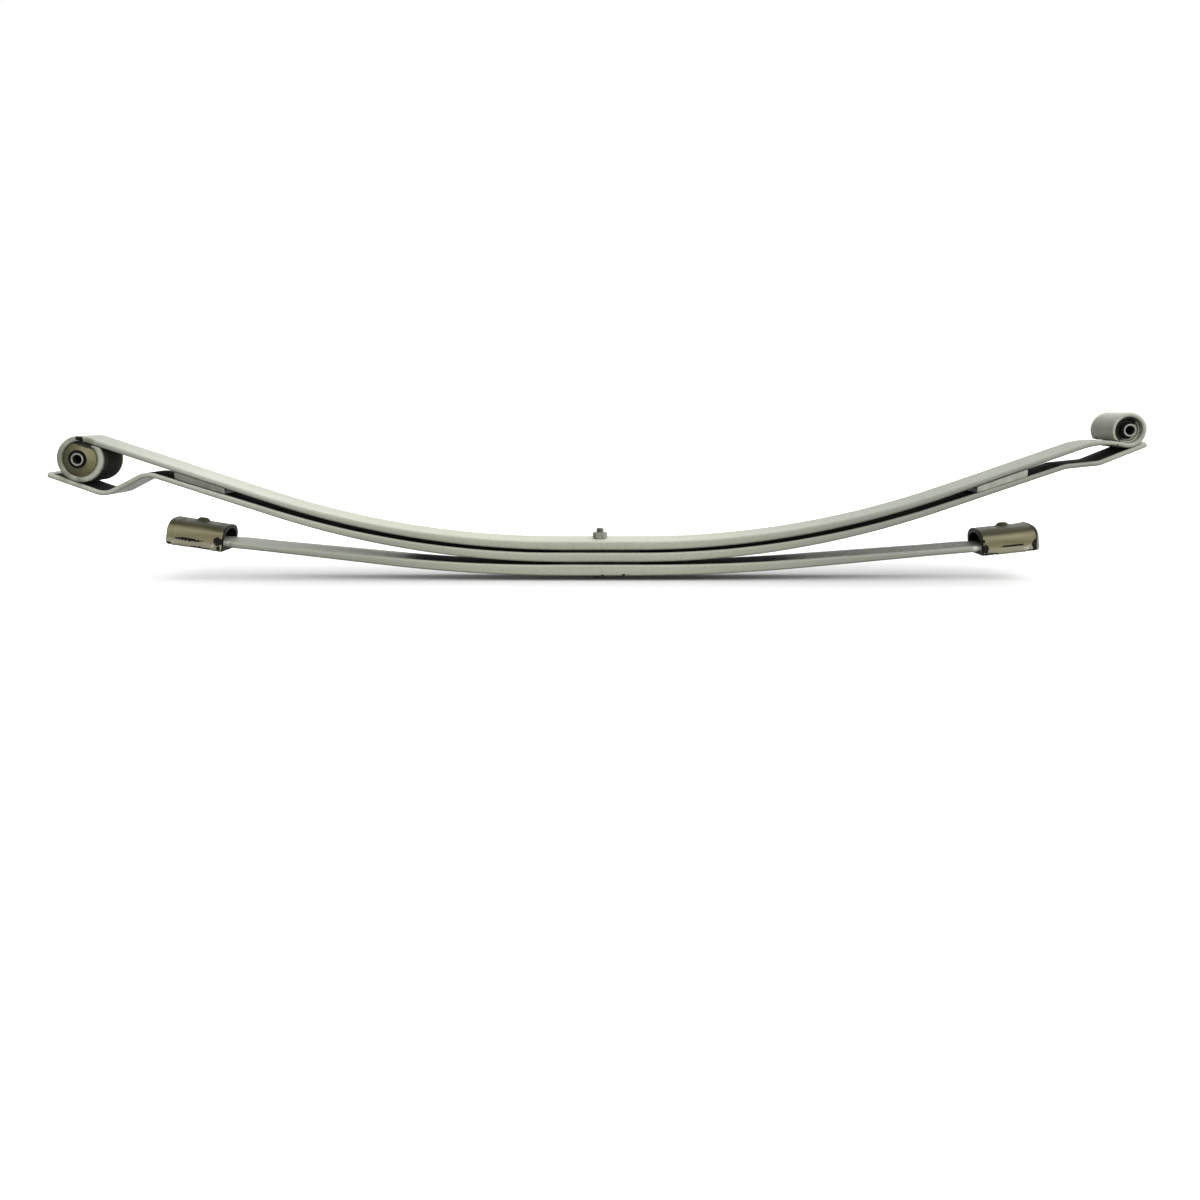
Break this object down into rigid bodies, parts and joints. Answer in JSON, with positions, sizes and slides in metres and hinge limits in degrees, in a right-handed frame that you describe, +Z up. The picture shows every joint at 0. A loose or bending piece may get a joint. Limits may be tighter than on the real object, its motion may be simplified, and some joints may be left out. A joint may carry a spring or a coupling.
{
  "type": "leaf spring",
  "caption": "Parabolic vehicle leaf spring with rolled rubber-bushed eyes, a wrapper leaf under them and a helper leaf ending in arched rubber buffers.",
  "frame": {"origin": "middle of the flat end of the centre bolt's round head, which locates the spring on its axle", "axes": "+X along the spring towards the end whose eye rolls up, +Y across the leaves, +Z up from the axle towards the eyes"},
  "size_m": [1.3736, 0.084, 0.2102],
  "materials": {
    "leaf_paint": "satin grey spring paint",
    "nut_paint": "satin grey paint",
    "zinc_steel": "zinc plated",
    "shell_steel": "drawn steel",
    "liner_plastic": "painted over with the leaves",
    "bush_rubber": "moulded, with a brown protective film",
    "buffer_rubber": "moulded, with a glossy brown protective film"
  },
  "bodies": {
    "spring_pack": {"main_leaf": "leaf_paint", "second_leaf": "leaf_paint", "helper_leaf": "leaf_paint", "upper_centre_liner": "liner_plastic", "lower_centre_liner": "liner_plastic", "centre_bolt": "zinc_steel", "centre_nut": "nut_paint"},
    "left_arm": {"left_bush_shell": "shell_steel", "left_bush_rubber": "bush_rubber", "left_tip_liner": "liner_plastic", "left_tip_rivet": "zinc_steel"},
    "left_sleeve": {"left_bush_sleeve": "zinc_steel"},
    "left_helper_end": {"left_buffer": "buffer_rubber"},
    "right_arm": {"right_bush_shell": "shell_steel", "right_bush_rubber": "bush_rubber", "right_tip_liner": "liner_plastic", "right_tip_rivet": "zinc_steel"},
    "right_sleeve": {"right_bush_sleeve": "zinc_steel"},
    "right_helper_end": {"right_buffer": "buffer_rubber"}
  },
  "joints": [
    {"name": "left_arm_flex", "type": "hinge", "parent": "spring_pack", "child": "left_arm", "pos_m": [-0.1995, 0, 0.05435], "axis": [0, -1, 0], "range_deg": [0, 6], "stiffness_Nm_per_rad": 5000, "deforming": ["main_leaf", "second_leaf"]},
    {"name": "left_bush_twist", "type": "hinge", "parent": "left_arm", "child": "left_sleeve", "pos_m": [-0.648, 0, 0.15291], "axis": [0, 1, 0], "range_deg": [-15, 15], "stiffness_Nm_per_rad": 60, "deforming": ["left_bush_rubber"]},
    {"name": "left_helper_flex", "type": "hinge", "parent": "spring_pack", "child": "left_helper_end", "pos_m": [-0.17225, 0, 0.01699], "axis": [0, -1, 0], "range_deg": [0, 3.5], "stiffness_Nm_per_rad": 5800, "deforming": ["helper_leaf"]},
    {"name": "right_arm_flex", "type": "hinge", "parent": "spring_pack", "child": "right_arm", "pos_m": [0.20175, 0, 0.05464], "axis": [0, 1, 0], "range_deg": [0, 6], "stiffness_Nm_per_rad": 5000, "deforming": ["main_leaf", "second_leaf"]},
    {"name": "right_bush_twist", "type": "hinge", "parent": "right_arm", "child": "right_sleeve", "pos_m": [0.657, 0, 0.1886], "axis": [0, 1, 0], "range_deg": [-15, 15], "stiffness_Nm_per_rad": 60, "deforming": ["right_bush_rubber"]},
    {"name": "right_helper_flex", "type": "hinge", "parent": "spring_pack", "child": "right_helper_end", "pos_m": [0.174, 0, 0.01639], "axis": [0, 1, 0], "range_deg": [0, 3.5], "stiffness_Nm_per_rad": 5800, "deforming": ["helper_leaf"]}
  ]
}
